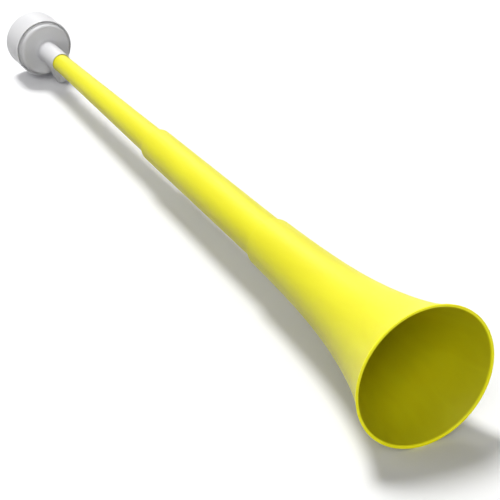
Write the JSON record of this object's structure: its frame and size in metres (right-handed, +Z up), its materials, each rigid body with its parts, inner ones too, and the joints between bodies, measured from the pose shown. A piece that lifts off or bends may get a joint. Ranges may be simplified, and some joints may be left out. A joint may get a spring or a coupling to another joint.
{
  "type": "vuvuzela",
  "caption": "Telescopic plastic stadium horn: flaring bell tube, sliding middle and narrow tubes, and a drum head with a screw cap, a film and a side blow spout.",
  "frame": {"origin": "middle of the part's bounding box, on the ground plane that the bell's rim and the blow spout touch", "axes": "+X from the head to the bell, along the ground; +Z up; the horn's own axis leans 1.8 degrees from X in the XZ plane, and the spout hangs 24 degrees from straight down, towards +Y"},
  "size_m": [0.6518, 0.096, 0.0961],
  "materials": {
    "yellow_plastic": "smooth moulded, satin gloss",
    "white_plastic": "smooth moulded, satin gloss",
    "clear_film": "clear thin film",
    "gasket_rubber": "matt"
  },
  "bodies": {
    "bell": {"bell_section": "yellow_plastic"},
    "middle": {"middle_section": "yellow_plastic"},
    "narrow": {"narrow_section": "yellow_plastic"},
    "head": {"head_base": "white_plastic", "tone_tube": "white_plastic", "blow_spout": "white_plastic", "film_gasket": "gasket_rubber", "film": "clear_film"},
    "clamp": {"clamp_ring": "white_plastic"},
    "cap": {"screw_cap": "white_plastic"}
  },
  "joints": [
    {"name": "middle_slide", "type": "slide", "parent": "bell", "child": "middle", "axis": [0.9995, 0, 0.031], "range_m": [0, 0.175]},
    {"name": "narrow_slide", "type": "slide", "parent": "middle", "child": "narrow", "axis": [0.9995, 0, 0.031], "range_m": [0, 0.185]},
    {"name": "head_swivel", "type": "hinge", "parent": "narrow", "child": "head", "pos_m": [-0.27027, 0, 0.0297], "axis": [-0.9995, 0, -0.031], "continuous": true},
    {"name": "cap_lift", "type": "slide", "parent": "head", "child": "clamp", "axis": [-0.9995, 0, -0.031], "range_m": [0, 0.006]},
    {"name": "cap_turn", "type": "hinge", "parent": "clamp", "child": "cap", "pos_m": [-0.31125, 0, 0.02843], "axis": [-0.9995, 0, -0.031], "range_deg": [0, 540]}
  ],
  "couplings": [
    {"joint": "cap_lift", "follows": "cap_turn", "m_per_rad": 0.000636}
  ]
}
